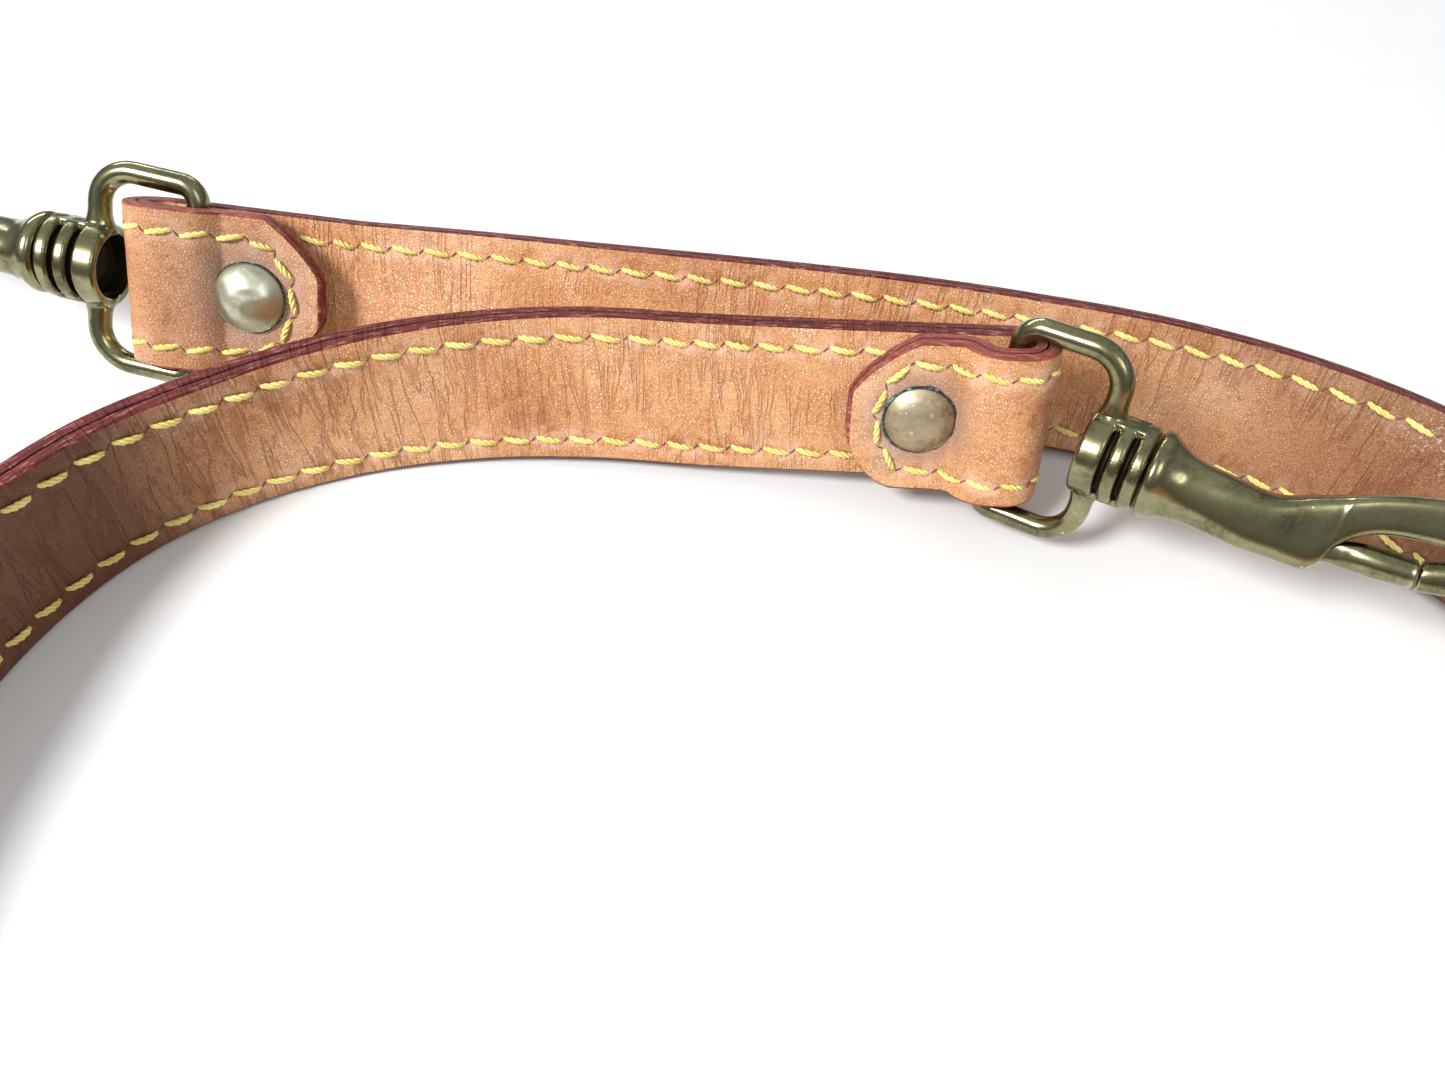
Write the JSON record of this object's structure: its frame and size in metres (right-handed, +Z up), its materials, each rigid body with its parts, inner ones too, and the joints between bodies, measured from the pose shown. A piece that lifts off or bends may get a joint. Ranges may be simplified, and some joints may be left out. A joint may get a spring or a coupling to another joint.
{
  "type": "leather shoulder strap with swivel snap hooks",
  "caption": "Stitched two-ply leather strap, coiled in one turn, whose ends fold round the bars of brass swivel snap hooks and are held by rivets.",
  "frame": {"origin": "on the table under the middle of the coiled strap's bounding box", "axes": "+Z up, out of the table the strap's edge stands on; +X along the coil's longer side, towards the right-hand end's side; the two ends overlap at +Y"},
  "size_m": [0.3324, 0.2676, 0.0403],
  "materials": {
    "leather": "waxed grain, worn",
    "lining": "worn",
    "thread": "waxed twist",
    "brass": "dark patina, rubbed bright",
    "rivet_brass": "tarnished",
    "spring_steel": "drawn wire"
  },
  "bodies": {
    "strap": {"strap_inner_ply": "lining", "strap_outer_ply": "leather", "outer_face_thread": "thread", "inner_face_thread_upper": "thread", "inner_face_thread_lower": "thread", "right_rivet_cap": "rivet_brass", "right_rivet_post": "rivet_brass", "left_rivet_cap": "rivet_brass", "left_rivet_post": "rivet_brass"},
    "right_eye": {"right_eye": "brass"},
    "right_hook": {"right_hook": "brass", "right_gate_pin": "brass", "right_gate_spring": "spring_steel"},
    "right_gate": {"right_gate": "brass"},
    "left_eye": {"left_eye": "brass"},
    "left_hook": {"left_hook": "brass", "left_gate_pin": "brass", "left_gate_spring": "spring_steel"},
    "left_gate": {"left_gate": "brass"}
  },
  "joints": [
    {"name": "right_eye_swing", "type": "hinge", "parent": "strap", "child": "right_eye", "pos_m": [0.05476, 0.10088, 0.02091], "axis": [-0.0468, -0.2732, -0.9608], "range_deg": [-5, 90]},
    {"name": "right_hook_swivel", "type": "hinge", "parent": "right_eye", "child": "right_hook", "pos_m": [0.05476, 0.10088, 0.02091], "axis": [0.8743, -0.4765, 0.0929], "continuous": true},
    {"name": "right_gate_hinge", "type": "hinge", "parent": "right_hook", "child": "right_gate", "pos_m": [0.09868, 0.07529, 0.02314], "axis": [-0.4546, -0.7365, 0.5009], "range_deg": [0, 11], "stiffness_Nm_per_rad": 0.12, "springref_deg": -14.32},
    {"name": "left_eye_swing", "type": "hinge", "parent": "strap", "child": "left_eye", "pos_m": [-0.08875, 0.1162, 0.02142], "axis": [0.1346, 0.4768, 0.8686], "range_deg": [-20, 90]},
    {"name": "left_hook_swivel", "type": "hinge", "parent": "left_eye", "child": "left_hook", "pos_m": [-0.08875, 0.1162, 0.02142], "axis": [-0.9906, 0.0864, 0.1061], "continuous": true},
    {"name": "left_gate_hinge", "type": "hinge", "parent": "left_hook", "child": "left_gate", "pos_m": [-0.13927, 0.11774, 0.02726], "axis": [-0.1182, -0.1489, -0.9818], "range_deg": [0, 11], "stiffness_Nm_per_rad": 0.12, "springref_deg": -14.32}
  ]
}
